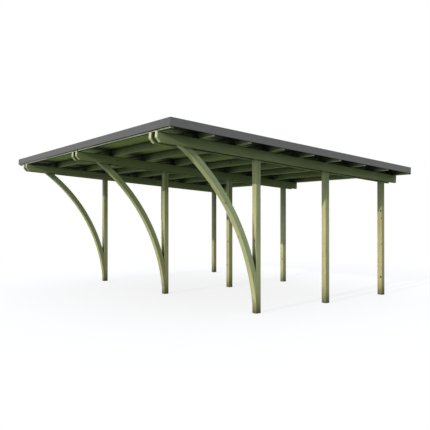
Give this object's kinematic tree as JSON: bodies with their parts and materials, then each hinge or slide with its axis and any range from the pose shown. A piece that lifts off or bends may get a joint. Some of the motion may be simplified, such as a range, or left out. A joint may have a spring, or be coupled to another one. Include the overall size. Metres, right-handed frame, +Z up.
{
  "type": "carport",
  "caption": "Wide open carport of planed treated timber: a near-flat roof on paired beams and slim posts, with curved braces under the front overhang.",
  "frame": {"origin": "on the ground under the middle of the roof's outline", "axes": "+X across the parking bays, to the right for someone driving in; +Y from the open entrance side to the rear, where the roof is lower; +Z up"},
  "size_m": [6.03, 5.3652, 2.7171],
  "materials": {
    "timber": "planed, pressure-treated softwood, greenish",
    "boards": "planed, pressure-treated boards, greenish",
    "membrane": "matt roofing sheet",
    "trim": "grey powder coat, matt"
  },
  "bodies": {
    "root": {"post_left_front": "timber", "post_left_middle": "timber", "post_left_rear": "timber", "post_centre_front": "timber", "post_centre_middle": "timber", "post_centre_rear": "timber", "post_right_front": "timber", "post_right_middle": "timber", "post_right_rear": "timber", "brace_left": "timber", "brace_centre": "timber", "brace_right": "timber", "beam_left_outer": "timber", "beam_left_inner": "timber", "beam_centre_left": "timber", "beam_centre_right": "timber", "beam_right_inner": "timber", "beam_right_outer": "timber", "purlin_1": "timber", "purlin_2": "timber", "purlin_3": "timber", "purlin_4": "timber", "purlin_5": "timber", "purlin_6": "timber", "purlin_7": "timber", "purlin_8": "timber", "purlin_9": "timber", "roof_deck": "boards", "roof_membrane": "membrane", "trim_front": "trim", "trim_rear": "trim", "trim_left": "trim", "trim_right": "trim"}
  },
  "joints": []
}
